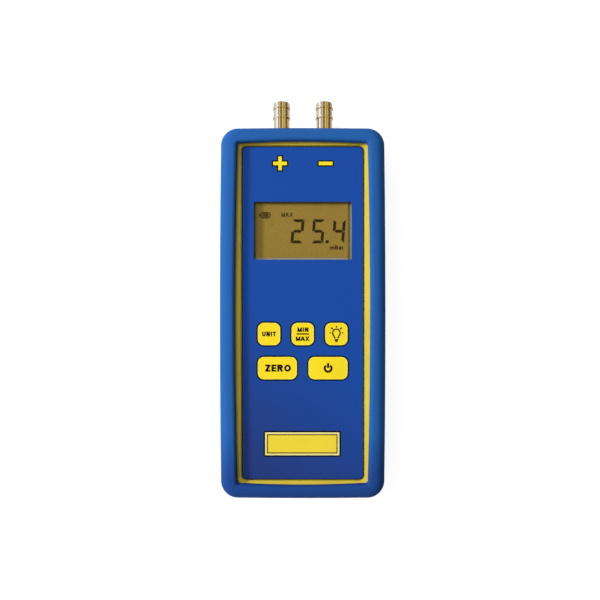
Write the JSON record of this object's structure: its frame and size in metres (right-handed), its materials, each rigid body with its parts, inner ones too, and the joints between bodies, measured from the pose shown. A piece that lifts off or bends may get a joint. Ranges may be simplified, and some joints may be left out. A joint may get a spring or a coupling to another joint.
{
  "type": "digital differential pressure meter",
  "caption": "Handheld digital meter that shows the pressure difference between two barbed hose ports, with a keypad and display in a rubber boot.",
  "frame": {"origin": "middle of the whole length and width, ports included, on the surface it lies on", "axes": "+Z out of the front face, +Y towards the hose ports, +X to the right of the display"},
  "size_m": [0.075, 0.1822, 0.035],
  "materials": {
    "boot_rubber": "matt moulded rubber",
    "case_plastic": "fine moulded texture",
    "seal_rubber": "soft moulded rubber",
    "foam": "cut foam sheet",
    "battery_can": "plain wrapped can",
    "spring_metal": "bright spring metal",
    "black_plastic": "moulded plastic",
    "lead_red": "wire insulation",
    "lead_black": "wire insulation",
    "overlay_film": "satin polyester film printed from behind",
    "yellow_print": "printed field under satin film",
    "clear_film": "clear polyester sheet with tracks",
    "white_plastic": "moulded plastic",
    "window_clear": "clear moulded lens",
    "lcd_glass": "display glass",
    "lcd_film": "polarising film",
    "dark_ink": "dark print and lit display strokes",
    "board_green": "solder mask",
    "can_metal": "drawn metal can",
    "hose_silicone": "silicone hose",
    "port_brass": "turned and polished",
    "screw_steel": "zinc plated"
  },
  "bodies": {
    "root": {"protective_boot": "boot_rubber", "front_case": "case_plastic", "rear_case": "case_plastic", "case_gasket": "seal_rubber", "battery_door": "case_plastic", "door_foam": "foam", "battery": "battery_can", "battery_contacts": "spring_metal", "contact_holder": "black_plastic", "positive_lead": "lead_red", "negative_lead": "lead_black", "graphic_overlay": "overlay_film", "key_fields": "yellow_print", "port_marks": "yellow_print", "name_field": "yellow_print", "keypad_circuit": "clear_film", "keypad_spacer": "clear_film", "snap_domes": "spring_metal", "keypad_tail": "clear_film", "tail_socket": "white_plastic", "display_window": "window_clear", "lcd_glass": "lcd_glass", "front_polariser": "lcd_film", "lcd_segments": "dark_ink", "lcd_frame": "black_plastic", "contact_strips": "seal_rubber", "backlight_panel": "white_plastic", "main_board": "board_green", "microcontroller": "black_plastic", "amplifier_chip": "black_plastic", "crystal": "can_metal", "chip_resistors": "black_plastic", "pressure_sensor": "white_plastic", "positive_hose": "hose_silicone", "negative_hose": "hose_silicone", "positive_port": "port_brass", "negative_port": "port_brass", "port_seals": "seal_rubber", "port_nuts": "port_brass", "case_screws": "screw_steel", "board_screws": "screw_steel"}
  },
  "joints": []
}
